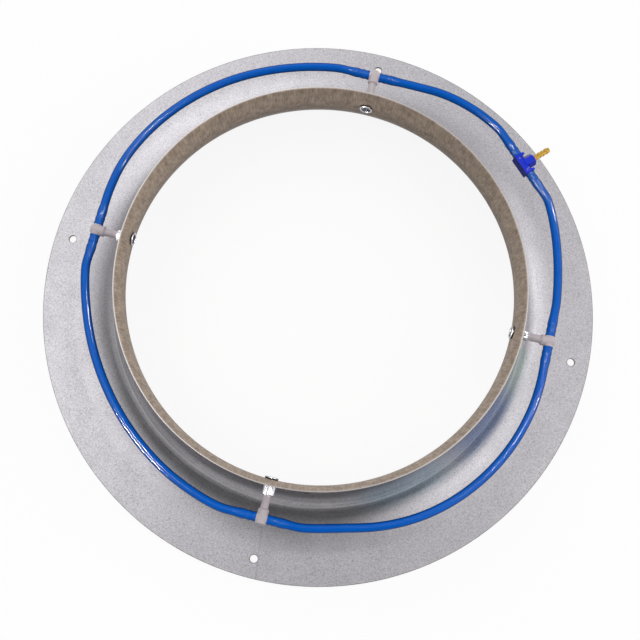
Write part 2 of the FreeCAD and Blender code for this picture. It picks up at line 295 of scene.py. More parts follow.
def make_mottle() -> None:
    """Group of broad soft clouds, even round zero, with an Amount that scales them."""
    kit, taken, result = new_group("mottle", "Value", "Scale", "Amount")
    value = kit.noise(taken["Vector"], taken["Scale"], 3.0, 0.55)
    kit.feed(result[0], kit.math("MULTIPLY", kit.math("SUBTRACT", value, 0.5), taken["Amount"]))


@dataclass(frozen=True)
class Finish:
    """A surface finish: its name, its slot in the record and its main shader values."""

    name: str
    slot: str
    colour: Colour
    roughness: float
    metallic: float = 0.0
    bump: float = 0.0
    bump_depth: float = 0.1 * MM
    unevenness: float = 0.2

    def colour_socket(self, kit: Tree) -> object:
        """Base colour: a plain one with broad soft clouds.

        Args:
            kit: The material's tree.

        Returns:
            The colour's socket.
        """
        clouds = kit.group("mottle", Scale=90.0, Amount=0.5)
        return kit.mix(kit.math("ADD", clouds, 0.5), shade(self.colour, 0.75),
                       shade(self.colour, 1.2))

    def roughness_socket(self, kit: Tree) -> object:
        """Roughness with a little variation."""
        clouds = kit.group("mottle", Scale=220.0, Amount=self.unevenness)
        return kit.math("ADD", clouds, self.roughness)

    def height_socket(self, kit: Tree) -> object:
        """Height of the fine grain, from 0 to 1."""
        return kit.noise(kit.place(), 900.0, 2.0, 0.6)

    def metallic_socket(self, kit: Tree) -> object:
        """Share of bare metal, the same all over."""
        return self.metallic

    def set_shader(self, shader: bpy.types.Node) -> None:
        """Sets the values that are the same all over the surface."""

    def build(self) -> bpy.types.Material:
        """Makes the material.

        Returns:
            The new material.
        """
        material = bpy.data.materials.new(self.name)
        material.use_nodes = True
        kit = Tree(material.node_tree)
        shader = material.node_tree.nodes["Principled BSDF"]
        kit.feed(shader.inputs["Base Color"], self.colour_socket(kit))
        kit.feed(shader.inputs["Roughness"], self.roughness_socket(kit))
        kit.feed(shader.inputs["Metallic"], self.metallic_socket(kit))
        self.set_shader(shader)
        if self.bump:
            bump = kit.node("Bump", {"Strength": self.bump, "Distance": self.bump_depth,
                                     "Height": self.height_socket(kit)})
            kit.feed(shader.inputs["Normal"], bump.outputs["Normal"])
        material.diffuse_color = (*self.colour, 1.0)
        return material


@dataclass(frozen=True)
class GalvanisedFinish(Finish):
    """Zinc-coated sheet: clouds, fine specks and spinning lines, with painted shade on the spun
    bell, a painted highlight line and a painted reflection tint there, and a painted brown cast and
    painted shade inside the throat.

    Its methods take the material's tree, and most give the socket of a colour or a share.
    """

    grain_dark: float = 0.26
    grain_light: float = 0.2
    speck_share: float = 0.45
    speck_shade: float = 0.35
    # Brightness kept on the spun bell: painted shade, for the dark surroundings that it mirrors.
    spun_painted_shade: float = 0.66
    spun_shine: float = 0.12
    # A light line round the bell at one height: painted highlight.
    highlight_line_z: float = 16.7 * MM
    highlight_line_share: float = 0.36
    highlight_line_colour: Colour = (0.7, 0.7, 0.72)
    # Brown of the throat's wall: a painted warm cast on zinc that is galvanised all over.
    brown_cast_colour: Colour = srgb(166, 148, 132)
    wall_metallic: float = 0.25
    wall_specular: float = 0.05
    mark_dark: float = 0.24
    mark_dark_colour: Colour = (0.02, 0.015, 0.01)
    mark_light: float = 0.1
    mark_light_colour: Colour = (0.8, 0.72, 0.62)
    # Darkening deeper down the throat: painted shade.
    deep_shade_share: float = 0.4
    deep_shade_colour: Colour = (0.02, 0.016, 0.013)
    deep_shade_to: float = 40.0 * MM
    shade_gone_from: float = 62.0 * MM
    rim_z: float = 71.0 * MM
    # A light line on the rim's crest: painted highlight.
    rim_highlight_r: float = 148.4 * MM
    rim_highlight_share: float = 0.9
    rim_highlight_colour: Colour = srgb(216, 208, 202)
    flange_r: float = 220.0 * MM
    # Dark band at the cut edges: bare cut steel, widened onto the sheet as painted shade.
    cut_edge_and_shade_width: float = 0.55 * MM
    cut_edge_and_shade_share: float = 0.85
    cut_edge_and_shade_colour: Colour = srgb(92, 84, 76)
    scribe_from: tuple[float, float] = (-0.3 * MM, -180.2 * MM)
    scribe_way: tuple[float, float] = (0.134, -0.991)
    scribe_share: float = 0.28
    scribe_colour: Colour = (0.16, 0.14, 0.14)

    def zinc(self, kit: Tree) -> object:
        """Colour of the zinc: clouds, grain, specks, spinning bands, painted shade on the spun
        bell, a painted highlight line and a painted reflection tint.
        """
        clouds = kit.group("mottle", Scale=28.0, Amount=0.9)
        zinc = kit.mix(kit.math("ADD", clouds, 0.5), shade(self.colour, 0.86),
                       shade(self.colour, 1.12))
        grain = kit.group("mottle", Scale=1100.0, Amount=2.6)
        zinc = kit.mix(kit.math("ADD", grain, 0.5), kit.mix(self.grain_dark, zinc, BLACK),
                       kit.mix(self.grain_light, zinc, WHITE))
        specks = kit.group("speckle", Scale=900.0, Low=0.62, High=0.7)
        zinc = kit.mix(kit.math("MULTIPLY", specks, self.speck_share), zinc,
                       shade(self.colour, self.speck_shade))
        bands = kit.group("ring_lines", Around=1.2, Across=130.0)
        # Painted shade: the spun bell is darkened, with its spinning bands, for the dark
        # surroundings that it mirrors.
        banded = kit.mix(kit.span(bands, 0.35, 0.65),
                         kit.mix(1.0 - 0.85 * self.spun_painted_shade, zinc, BLACK),
                         kit.mix(1.0 - 1.15 * self.spun_painted_shade, zinc, BLACK))
        # Painted highlight: a light line round the bell, for a reflection on its curve.
        off = kit.math("ABSOLUTE", kit.math("SUBTRACT", kit.parts()[2], self.highlight_line_z))
        line = kit.span(off, 0.2 * MM, 0.9 * MM, self.highlight_line_share, 0.0)
        banded = kit.mix(line, banded, self.highlight_line_colour)
        # Painted reflection: the blue and teal tint is multiplied in.
        return kit.mix(1.0, kit.mix(kit.attribute("spun"), zinc, banded),
                       kit.attribute("film", "Color"), "MULTIPLY")

    def wall(self, kit: Tree) -> object:
        """Colour of the throat's wall: a painted brown cast, mottled, with short marks, and painted
        shade low down.
        """
        blots = kit.group("mottle", Scale=190.0, Amount=1.7)
        # Painted warm cast: brown over the zinc inside the throat.
        wall = kit.mix(kit.math("ADD", blots, 0.5), shade(self.brown_cast_colour, 0.66),
                       shade(self.brown_cast_colour, 1.3))
        marks = kit.group("ring_lines", Around=130.0, Across=190.0)
        wall = kit.mix(kit.span(marks, 0.34, 0.66),
                       kit.mix(self.mark_dark, wall, self.mark_dark_colour),
                       kit.mix(self.mark_light, wall, self.mark_light_colour))
        # Painted shade: the wall darkens deeper down the throat.
        deep_shade = kit.span(kit.parts()[2], self.deep_shade_to, self.shade_gone_from, self.deep_shade_share, 0.0)
        return kit.mix(deep_shade, wall, self.deep_shade_colour)

    def cut_edge_and_shade(self, kit: Tree) -> object:
        """Share of dark cut edge, bare steel widened with painted shade: round the flange and round
        its four holes.
        """
        flat = [kit.math("ABSOLUTE", part) for part in kit.parts()[:2]]
        full = 0.4 * self.cut_edge_and_shade_width
        rim = kit.span(kit.length(*flat), self.flange_r - self.cut_edge_and_shade_width, self.flange_r - full)
        out = kit.math("SUBTRACT", kit.math("MAXIMUM", *flat), BOLT_CIRCLE_R)
        away = kit.length(out, kit.math("MINIMUM", *flat))
        hole = kit.span(away, BOLT_HOLE_R + full, BOLT_HOLE_R + self.cut_edge_and_shade_width, 1.0, 0.0)
        return kit.math("MULTIPLY", kit.math("MAXIMUM", rim, hole), self.cut_edge_and_shade_share)

    def scribe(self, kit: Tree) -> object:
        """Share of the faint line that is scribed across the flange beside the south hole."""
        x, y = [kit.math("SUBTRACT", part, begin)
                for part, begin in zip(kit.parts(), self.scribe_from)]
        across = kit.math("SUBTRACT", kit.math("MULTIPLY", x, self.scribe_way[1]),
                          kit.math("MULTIPLY", y, self.scribe_way[0]))
        line = kit.span(kit.math("ABSOLUTE", across), 0.15 * MM, 0.6 * MM, 1.0, 0.0)
        along = kit.span(y, -1.0 * MM, 0.0, 1.0, 0.0)
        return kit.math("MULTIPLY", kit.math("MULTIPLY", line, along), self.scribe_share)

    def colour_socket(self, kit: Tree) -> object:
        """Base colour of the sheet, blended to the painted brown cast of the throat's wall, with a
        painted highlight on the rim.
        """
        sheet = kit.mix(kit.attribute("air_side"), self.zinc(kit), self.wall(kit))
        sheet = kit.mix(self.scribe(kit), sheet, self.scribe_colour)
        x, y, z = kit.parts()
        # Painted highlight: a light line on the rim's crest.
        rim = kit.span(z, self.rim_z - 0.15 * MM, self.rim_z - 0.02 * MM)
        bright = kit.span(kit.length(x, y), self.rim_highlight_r - 0.2 * MM,
                          self.rim_highlight_r + 0.2 * MM)
        rim = kit.math("MULTIPLY", rim, kit.math("MULTIPLY", bright, self.rim_highlight_share))
        sheet = kit.mix(rim, sheet, self.rim_highlight_colour)
        return kit.mix(self.cut_edge_and_shade(kit), sheet, self.cut_edge_and_shade_colour)

    def metallic_socket(self, kit: Tree) -> object:
        """Share of bare metal: full on the zinc, less on the dull wall."""
        return kit.span(kit.attribute("air_side"), 0.0, 1.0, self.metallic, self.wall_metallic)

    def set_shader(self, shader: bpy.types.Node) -> None:
        """Keeps the dull part of the wall from mirroring."""
        shader.inputs["Specular IOR Level"].default_value = self.wall_specular

    def roughness_socket(self, kit: Tree) -> object:
        """Roughness: the spinning lines and clouds make it uneven."""
        lines = kit.group("ring_lines", Around=3.0, Across=900.0)
        lines = kit.math("MULTIPLY", kit.math("SUBTRACT", lines, 0.5), 0.12)
        clouds = kit.group("mottle", Scale=60.0, Amount=0.16)
        shine = kit.math("MULTIPLY", kit.attribute("spun"), self.spun_shine)
        total = kit.math("SUBTRACT", kit.math("ADD", lines, clouds), shine)
        return kit.math("ADD", total, self.roughness)

    def height_socket(self, kit: Tree) -> object:
        """Height of the zinc's grain and of the spinning lines."""
        grain = kit.noise(kit.place(), 700.0, 2.0, 0.6)
        lines = kit.group("ring_lines", Around=2.0, Across=1100.0)
        return kit.math("ADD", grain, kit.math("MULTIPLY", lines, 0.6))


@dataclass(frozen=True)
class GlossFinish(Finish):
    """Smooth glossy plastic: little haze, and bumps where it is stretched."""

    specular: float = 0.15
    edge_shade_share: float = 0.4

    def colour_socket(self, kit: Tree) -> object:
        """Base colour: deeper where the surface turns away, partly clear coloured plastic's own
        depth and partly painted shade on the sides.
        """
        # Painted shade on the sides, by how far the surface turns away.
        edge_on = kit.span(kit.node("LayerWeight").outputs["Facing"], 0.15, 0.58)
        plain = Finish.colour_socket(self, kit)
        return kit.mix(edge_on, plain, shade(self.colour, self.edge_shade_share))

    def height_socket(self, kit: Tree) -> object:
        """Height of the small bumps, on stretched places only."""
        bumps = kit.noise(kit.place(), 520.0, 1.0, 0.5)
        return kit.math("MULTIPLY", bumps, kit.attribute("stretched"))

    def set_shader(self, shader: bpy.types.Node) -> None:
        """Sets how strongly the surface mirrors."""
        shader.inputs["Specular IOR Level"].default_value = self.specular


GALVANISED = GalvanisedFinish("galvanised", "galvanised_sheet", srgb(198, 195, 201), 0.42,
                              metallic=1.0, bump=0.12)
PLATED = Finish("bright_zinc", "plated_steel", srgb(206, 206, 210), 0.22, metallic=1.0, bump=0.05)
RUBBER = Finish("seal_rubber", "black_rubber", srgb(20, 20, 21), 0.7, bump=0.2)
TEE_PLASTIC = Finish("tee_plastic", "grey_plastic", srgb(188, 178, 182), 0.55, bump=0.1)
HOSE_BLUE = GlossFinish("hose_blue", "blue_hose", srgb(0, 92, 192), 0.1, bump=0.9,
                        bump_depth=0.4 * MM, unevenness=0.05)
OUTLET_BLUE = GlossFinish("outlet_blue", "blue_plastic", srgb(4, 44, 205), 0.25, bump=0.05,
                          unevenness=0.1)
BRASS = Finish("turned_brass", "brass", srgb(205, 165, 80), 0.25, metallic=1.0, bump=0.05)


def dress(piece: bpy.types.Object, finish: Finish, nodes: list[str]) -> bpy.types.Object:
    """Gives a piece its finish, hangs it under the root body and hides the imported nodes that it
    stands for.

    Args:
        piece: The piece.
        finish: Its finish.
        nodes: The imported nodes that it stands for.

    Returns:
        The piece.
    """
    material = bpy.data.materials.get(finish.name) or finish.build()
    piece.data.materials.clear()
    piece.data.materials.append(material)
    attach(piece, ROOT)
    if nodes:
        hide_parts(*nodes)
    log.info("%s: %d faces, %s", piece.name, len(piece.data.polygons), finish.name)
    return piece


def as_object(mesh: bmesh.types.BMesh, name: str) -> bpy.types.Object:
    """Turns a finished bmesh into an object at the origin, smoothly shaded.

    Args:
        mesh: The bmesh, which is freed.
        name: The object's name.

    Returns:
        The new object.
    """
    for face in mesh.faces:
        face.smooth = True
    data = bpy.data.meshes.new(name)
    mesh.to_mesh(data)
    mesh.free()
    piece = bpy.data.objects.new(name, data)
    bpy.context.scene.collection.objects.link(piece)
    return piece


def soften(piece: bpy.types.Object, width: float, segments: int = 2,
           sharper_than: float = 35.0) -> None:
    """Rounds a piece's sharp edges and keeps its flat faces flat in the shading.

    Args:
        piece: The piece.
        width: The rounding's width.
        segments: How many faces it has across.
        sharper_than: The least angle of an edge that is rounded, in degrees.
    """
    bevel = piece.modifiers.new("soft_edges", "BEVEL")
    bevel.width = width
    bevel.segments = segments
    bevel.limit_method = "ANGLE"
    bevel.angle_limit = math.radians(sharper_than)
    bevel.use_clamp_overlap = True
    bevel.miter_outer = "MITER_ARC"
    flat = piece.modifiers.new("flat_faces", "WEIGHTED_NORMAL")
    flat.keep_sharp = False


def packed_piece(node: str, finish: Finish, width: float = 0.0,
                 segments: int = 2) -> bpy.types.Object:
    """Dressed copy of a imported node, with its triangles joined and its flat faces made whole.

    Args:
        node: The node's name.
        finish: The piece's finish.
        width: The width of its rounded edges, or 0 where they stay as packed.
        segments: How many faces a rounding has across.

    Returns:
        The finished piece.
    """
    mesh = bmesh.new()
    mesh.from_mesh(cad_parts[node].data)
    bmesh.ops.remove_doubles(mesh, verts=mesh.verts, dist=WELD)
    bmesh.ops.dissolve_limit(mesh, angle_limit=FLAT_WITHIN, use_dissolve_boundaries=False,
                             verts=mesh.verts, edges=mesh.edges)
    piece = as_object(mesh, node + "_look")
    if width:
        soften(piece, width, segments)
    return dress(piece, finish, [node])


def eased(value: float, low: float, high: float) -> float:
    """Share of the way from low to high, from 0 to 1, with soft ends."""
    share = min(1.0, max(0.0, (value - low) / (high - low)))
    return share * share * (3 - 2 * share)


@dataclass
class SpunRing:
    """The spun sheet: flange, bell, throat and rim, with its holes."""

    sheet: float = 1.5 * MM
    throat_r: float = 144.6 * MM
    bell_r: float = 53.5 * MM
    edge_r: float = 0.2 * MM
    inset: float = 0.01 * MM
    tap_hole_r: float = 4.1 * MM
    drill_length: float = 12.0 * MM
    brown_from: float = 22.0 * MM
    brown_to: float = 44.0 * MM
    spun_from: float = 5.0 * MM
    spun_to: float = 13.0 * MM
    # Painted reflection: blue and teal tints on one stretch of the bell, each with its angle,
    # half-width and colour.
    painted_reflections: tuple[tuple[float, float, Colour], ...] = (
        (336.0, 17.0, (0.5, 0.62, 0.88)),
        (308.0, 20.0, (0.78, 0.94, 1.04)),
        (354.0, 12.0, (0.85, 0.98, 0.92)),
    )
    painted_reflection_rises: tuple[float, float] = (8.0 * MM, 13.0 * MM)
    painted_reflection_fades: tuple[float, float] = (26.0 * MM, 38.0 * MM)
    turns: int = 512
    arc_steps: int = 48
    hole_steps: int = 48
    flange_r: float = field(init=False)
    rim_z: float = field(init=False)

    def __post_init__(self) -> None:
        """Reads the ring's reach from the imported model."""
        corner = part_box("inlet_ring")[1]
        self.flange_r = corner.x - self.inset
        self.rim_z = corner.z - self.inset

    @property
    def centre_r(self) -> float:
        """Radius of the circle that the bell's arc turns about."""
        return self.throat_r + self.bell_r

    def arc(self, depth: float, start_z: float, end_z: float) -> list[Vector]:
        """Points of the bell's section at a depth in the sheet.

        Args:
            depth: Depth from the air side.
            start_z: Height of the first point.
            end_z: Height of the last point.

        Returns:
            The points, in the XZ plane.
        """
        radius = self.bell_r - depth
        turn = [math.asin((z - self.bell_r) / radius) for z in (start_z, end_z)]
        points = []
        for step in range(self.arc_steps + 1):
            angle = turn[0] + (turn[1] - turn[0]) * step / self.arc_steps
            points.append(Vector((self.centre_r - radius * math.cos(angle), 0.0,
                                  self.bell_r + radius * math.sin(angle))))
        return points

    def corner(self, middle: Vector, start: float, steps: int = 3) -> list[Vector]:
        """Quarter round of an edge, anticlockwise in the XZ plane.

        Args:
            middle: The round's centre.
            start: The angle of its first point, in degrees.
            steps: How many faces it has.

        Returns:
            The points.
        """
        points = []
        for step in range(steps + 1):
            angle = math.radians(start + 90.0 * step / steps)
            points.append(middle + Vector((math.cos(angle), 0.0, math.sin(angle))) * self.edge_r)
        return points

    def section(self) -> list[Vector]:
        """Closed outline of the sheet, from the flange's outer edge round by the air side."""
        edge = self.edge_r
        low = self.flange_r - edge
        rim_low = self.rim_z - edge
        outline = self.corner(Vector((low, 0.0, self.sheet - edge)), 0.0)
        fan = self.arc(self.sheet, self.sheet, rim_low)
        air = self.arc(0.0, rim_low, 0.0)
        outline += fan
        outline += self.corner(Vector((fan[-1].x - edge, 0.0, rim_low)), 0.0)[1:]
        outline += self.corner(Vector((air[0].x + edge, 0.0, rim_low)), 90.0)[:-1]
        outline += air
        outline += self.corner(Vector((low, 0.0, edge)), 270.0)
        return outline

    def spin(self) -> bmesh.types.BMesh:
        """Spins the section about the ring's axis into a closed sheet.

        Returns:
            The bmesh.
        """
        mesh = bmesh.new()
        verts = [mesh.verts.new(point) for point in self.section()]
        edges = [mesh.edges.new(pair) for pair in zip(verts, verts[1:] + verts[:1])]
        bmesh.ops.spin(mesh, geom=verts + edges, cent=(0, 0, 0), axis=(0, 0, 1), dvec=(0, 0, 0),
                       angle=math.tau, steps=self.turns, use_merge=True, use_duplicate=False)
        bmesh.ops.remove_doubles(mesh, verts=mesh.verts, dist=WELD)
        bmesh.ops.recalc_face_normals(mesh, faces=mesh.faces)
        return mesh

    def drills(self) -> bpy.types.Object:
        """One object of all the rods that cut the flange holes and the tap holes."""
        mesh = bmesh.new()
        for side in Side:
            turn = Matrix.Rotation(math.radians(side.value), 4, "Z")
            down = turn @ Matrix.Translation((BOLT_CIRCLE_R, 0.0, 0.0))
            across = (turn @ Matrix.Translation((self.throat_r, 0.0, self.bell_r))
                      @ Matrix.Rotation(math.radians(90.0), 4, "Y"))
            for radius, place in ((BOLT_HOLE_R, down), (self.tap_hole_r, across)):
                bmesh.ops.create_cone(mesh, cap_ends=True, segments=self.hole_steps, radius1=radius,
                                      radius2=radius, depth=self.drill_length, matrix=place)
        return as_object(mesh, "drills")

    def drill(self, ring: bpy.types.Object) -> None:
        """Cuts the holes, and applies the cut."""
        drills = self.drills()
        cut = ring.modifiers.new("holes", "BOOLEAN")
        cut.operation = "DIFFERENCE"
        cut.solver = "EXACT"
        cut.object = drills
        graph = bpy.context.evaluated_depsgraph_get()
        data = bpy.data.meshes.new_from_object(ring.evaluated_get(graph))
        ring.modifiers.clear()
        ring.data = data
        bpy.data.objects.remove(drills)

    def mark_sides(self, ring: bpy.types.Object) -> None:
        """Writes each point's painted brown cast, its share of the spun band, which carries painted
        shade and shine, and its painted reflection tint.
        """
        brown, spun, film = [], [], []
        for vertex in ring.data.vertices:
            x, y, z = vertex.co
            radius = math.hypot(x, y)
            depth = self.bell_r - math.dist((radius, z), (self.centre_r, self.bell_r))
            on_air_side = depth < self.sheet / 2 and radius < self.centre_r
            face = Face.AIR if on_air_side else Face.FAN
            # Painted brown cast on the air side of the throat.
            brown.append(eased(z, self.brown_from, self.brown_to) if face is Face.AIR else 0.0)
            # Spun band: painted shade in the colour, real shine in the roughness.
            spun.append(eased(z, self.spun_from, self.spun_to) if face is Face.FAN else 0.0)
            # Painted reflection tint on the bell.
            film += self.painted_reflection_at(math.degrees(math.atan2(y, x)) % 360.0, z, face)
        for name, shares in (("air_side", brown), ("spun", spun)):
            layer = ring.data.attributes.new(name, "FLOAT", "POINT")
            layer.data.foreach_set("value", shares)
        layer = ring.data.attributes.new("film", "FLOAT_COLOR", "POINT")
        layer.data.foreach_set("color", film)

    def painted_reflection_at(self, angle: float, z: float, face: Face) -> list[float]:
        """Painted reflection tint on the zinc: plain, but blue and teal on one stretch of the bell,
        for the hose and light that it mirrors there.

        Args:
            angle: Angle round the ring, in degrees.
            z: Height.
            face: The face that the point is on.

        Returns:
            The tint's red, green, blue and alpha.
        """
        tint = [1.0, 1.0, 1.0, 1.0]
        if face is Face.FAN:
            height = eased(z, *self.painted_reflection_rises) * (1 - eased(z, *self.painted_reflection_fades))
            for middle, half, colour in self.painted_reflections:
                share = height * (1 - eased(abs(angle - middle), 0.3 * half, half))
                for index, value in enumerate(colour):
                    tint[index] *= 1 + share * (value - 1)
        return tint

    def build(self) -> bpy.types.Object:
        """Builds and dresses the ring.

        Returns:
            The finished piece.
        """
        ring = as_object(self.spin(), "spun_ring")
        self.drill(ring)
        self.mark_sides(ring)
        flat = ring.modifiers.new("flat_faces", "WEIGHTED_NORMAL")
        flat.keep_sharp = False
        return dress(ring, GALVANISED, ["inlet_ring"])


@dataclass
class TapFittings:
    """Rivet bush, seal and tee at each of the four taps."""

    bush_soft: float = 0.12 * MM
    tee_soft: float = 0.3 * MM

    def build(self) -> list[bpy.types.Object]:
        """Builds and dresses the twelve pieces.

        Returns:
            The finished pieces.
        """
        made = []
        for side in Side:
            name = side.name.lower()
            made.append(packed_piece("tap_bush_" + name, PLATED, self.bush_soft))
            made.append(packed_piece("tap_seal_" + name, RUBBER))
            made.append(packed_piece("tap_tee_" + name, TEE_PLASTIC, self.tee_soft, 3))
        return made


@dataclass
class Outlet:
    """Outlet tee of the ring line, with its brass nipple."""

    tee_soft: float = 0.35 * MM
    nipple_soft: float = 0.08 * MM

    def build(self) -> list[bpy.types.Object]:
        """Builds and dresses both pieces.

        Returns:
            The finished pieces.
        """
        return [packed_piece("outlet_tee", OUTLET_BLUE, self.tee_soft, 3),
                packed_piece("outlet_nipple", BRASS, self.nipple_soft)]


@dataclass(frozen=True)
class TeePlace:
    """Where a tee sits in the ring line: angle in degrees, radius, and half its width."""

    angle: float
    radius: float
    half: float


@dataclass(frozen=True)
class Route:
    """One hose: its node, its two tees, its straight leads and the points that it bends at.

    A bend is an angle in degrees and how far it lies outside the tees' circle.
    """

    node: str
    first: str
    lead: float
    bends: tuple[tuple[float, float], ...]
    tail: float
    last: str


ROUTES = (
    Route("hose_east_outlet", "east", 32.0 * MM, ((18.9, 5.6 * MM), (27.0, 9.2 * MM)),
          34.0 * MM, "outlet"),
    Route("hose_outlet_north", "outlet", 35.0 * MM, ((64.0, 11.8 * MM), (71.9, 8.5 * MM)),
          33.0 * MM, "north"),
    Route("hose_north_west", "north", 30.0 * MM,
          ((108.0, 3.3 * MM), (117.2, 4.3 * MM), (126.4, 5.6 * MM), (135.6, 6.4 * MM),
           (144.8, 6.9 * MM), (153.6, 6.8 * MM), (162.0, 6.0 * MM)),
          33.0 * MM, "west"),
    Route("hose_west_south", "west", 29.5 * MM,
          ((198.0, 0.9 * MM), (207.4, 0.2 * MM), (216.8, -0.1 * MM), (226.2, 0.2 * MM),
           (235.6, 0.9 * MM), (244.8, 1.9 * MM), (253.4, 2.4 * MM)),
          31.0 * MM, "south"),
    Route("hose_south_east", "south", 30.0 * MM,
          ((288.2, 2.4 * MM), (297.4, 6.2 * MM), (306.6, 8.8 * MM), (315.8, 9.7 * MM),
           (325.0, 9.3 * MM), (334.0, 8.0 * MM), (342.4, 5.8 * MM)),
          33.0 * MM, "east"),
)


@dataclass
class RingLine:
    """The five hoses that join the tees, each stretched over the barbs at its ends."""

    tees_r: float = 172.0 * MM
    tee_half: float = 3.9 * MM
    outlet_angle: float = 45.6
    outlet_out: float = 9.9 * MM
    outlet_half: float = 8.1 * MM
    tap_z: float = 53.5 * MM
    hose_r: float = 3.2 * MM
    wall: float = 1.2 * MM
    wide_bore_r: float = 2.63 * MM
    end_gap: float = 0.05 * MM
    arm: float = 14.4 * MM
    taper: float = 2.2 * MM
    barbs: int = 3
    pitch: float = 4.3 * MM
    land: float = 0.5 * MM
    sag: float = 0.28 * MM
    lip: float = 0.25 * MM
    sides: int = 32
    spacing: float = 2.5 * MM
    fine_spacing: float = 0.35 * MM

    @property
    def wide_r(self) -> float:
        """Outer radius where the hose is stretched over a crest, with its wall's area kept."""
        return math.sqrt(self.wide_bore_r ** 2 + self.hose_r ** 2 - (self.hose_r - self.wall) ** 2)

    @property
    def reach(self) -> float:
        """Distance from a hose's end to where it is no longer stretched."""
        return self.arm + self.taper

    @property
    def last_crest(self) -> float:
        """Distance from a hose's end to the back of its last crest."""
        return (self.barbs - 1) * self.pitch + 2 * self.land

    def tee(self, name: str) -> TeePlace:
        """Place of a named tee.

        Args:
            name: A side of the ring, or outlet.

        Returns:
            The place.
        """
        if name == "outlet":
            return TeePlace(self.outlet_angle, self.tees_r + self.outlet_out, self.outlet_half)
        return TeePlace(Side[name.upper()].value, self.tees_r, self.tee_half)

    def polar(self, angle: float, radius: float) -> Vector:
        """Point at tap height from an angle in degrees and a distance from the axis."""
        turn = math.radians(angle)
        return Vector((radius * math.cos(turn), radius * math.sin(turn), self.tap_z))

    def beside(self, name: str, distance: float, way: int) -> Vector:
        """Point on the axis of a tee's arm.

        Args:
            name: The tee's name.
            distance: Distance from the tee's middle.
            way: 1 for the arm that points anticlockwise, -1 for the other.

        Returns:
            The point.
        """
        place = self.tee(name)
        turn = math.radians(place.angle)
        along = Vector((-math.sin(turn), math.cos(turn), 0.0))
        return self.polar(place.angle, place.radius) + along * (distance * way)

    def control_points(self, route: Route) -> list[Vector]:
        """The route's points, from the face of its first tee to the face of its last."""
        first, last = self.tee(route.first), self.tee(route.last)
        points = [self.beside(route.first, distance, 1)
                  for distance in (first.half, first.half + self.reach, route.lead)]
        points += [self.polar(angle, self.tees_r + out) for angle, out in route.bends]
        points += [self.beside(route.last, distance, -1)
                   for distance in (route.tail, last.half + self.reach, last.half)]
        return points

    def centreline(self, route: Route) -> list[Vector]:
        """Points along the smooth spline of a route, close together.

        Args:
            route: The route.

        Returns:
            The points, in order.
        """
        curve = bpy.data.curves.new(route.node, "CURVE")
        curve.dimensions = "3D"
        curve.resolution_u = 24
        spline = curve.splines.new("NURBS")
        points = self.control_points(route)
        spline.points.add(len(points) - 1)
        for target, point in zip(spline.points, points):
            target.co = (*point, 1.0)
        spline.order_u = 3
        spline.use_endpoint_u = True
        holder = bpy.data.objects.new(route.node, curve)
        line = bpy.data.meshes.new_from_object(holder)
        found = [vertex.co.copy() for vertex in line.vertices]
        bpy.data.objects.remove(holder)
        bpy.data.curves.remove(curve)
        bpy.data.meshes.remove(line)
        return found

    def outside(self, distance: float) -> float:
        """Outer radius of the hose at a distance from its end: crests, dips and a taper."""
        if distance < self.lip:
            edge = 1 - max(0.0, distance) / self.lip
            return self.wide_r - self.lip * (1 - math.sqrt(1 - edge * edge))
        if distance <= self.last_crest:
            phase = (distance - self.land) / self.pitch
            return self.wide_r - self.sag * math.sin(math.pi * (phase % 1.0)) ** 2
        ease = 1 - eased(distance, self.last_crest, self.reach)
        return self.hose_r + (self.wide_r - self.hose_r) * ease

    def inside(self, distance: float) -> float:
        """Bore radius of the hose at a distance from its end."""
        share = (distance - self.last_crest) / (self.reach - self.last_crest)
        share = min(1.0, max(0.0, share))
        return self.wide_bore_r + (self.hose_r - self.wall - self.wide_bore_r) * share

    def stations(self, length: float) -> list[float]:
        """Distances along a hose at which it gets a ring of points, finer at both ends."""
        fine_to = self.arm + 2 * self.taper
        fine = math.ceil(fine_to / self.fine_spacing)
        ends = [self.end_gap + (fine_to - self.end_gap) * step / fine for step in range(fine + 1)]
        steps = math.ceil((length - 2 * fine_to) / self.spacing)
        middle = [fine_to + (length - 2 * fine_to) * step / steps for step in range(1, steps)]
        return ends + middle + [length - distance for distance in reversed(ends)]

    def tube(self, route: Route) -> bpy.types.Object:
        """Mesh of one hose, with its bore and both stretched ends.

        Args:
            route: The hose's route.

        Returns:
            The new object.
        """
        line = self.centreline(route)
        lengths = [0.0]
        for before, after in zip(line, line[1:]):
            lengths.append(lengths[-1] + (after - before).length)
        total = lengths[-1]
        stations = self.stations(total)
        plan = [(s, self.outside(min(s, total - s) - self.end_gap)) for s in stations]
        plan += [(s, self.inside(min(s, total - s))) for s in reversed(stations)]
        mesh = bmesh.new()
        stretched = mesh.verts.layers.float.new("stretched")
        loops = []
        for distance, radius in plan:
            index = max(i for i in range(len(lengths) - 1) if lengths[i] <= distance + 1e-9)
            step = line[index + 1] - line[index]
            middle = line[index] + step.normalized() * (distance - lengths[index])
            ahead = line[min(index + 2, len(line) - 1)] - line[max(index - 1, 0)]
            loop = self.ring_of_points(mesh, middle, ahead.normalized(), radius)
            share = 1 - eased(min(distance, total - distance), self.arm - self.pitch, self.arm)
            for vertex in {vertex for edge in loop for vertex in edge.verts}:
                vertex[stretched] = share
            loops.append(loop)
        for before, after in zip(loops, loops[1:] + loops[:1]):
            bmesh.ops.bridge_loops(mesh, edges=before + after)
        bmesh.ops.recalc_face_normals(mesh, faces=mesh.faces)
        return as_object(mesh, route.node + "_look")

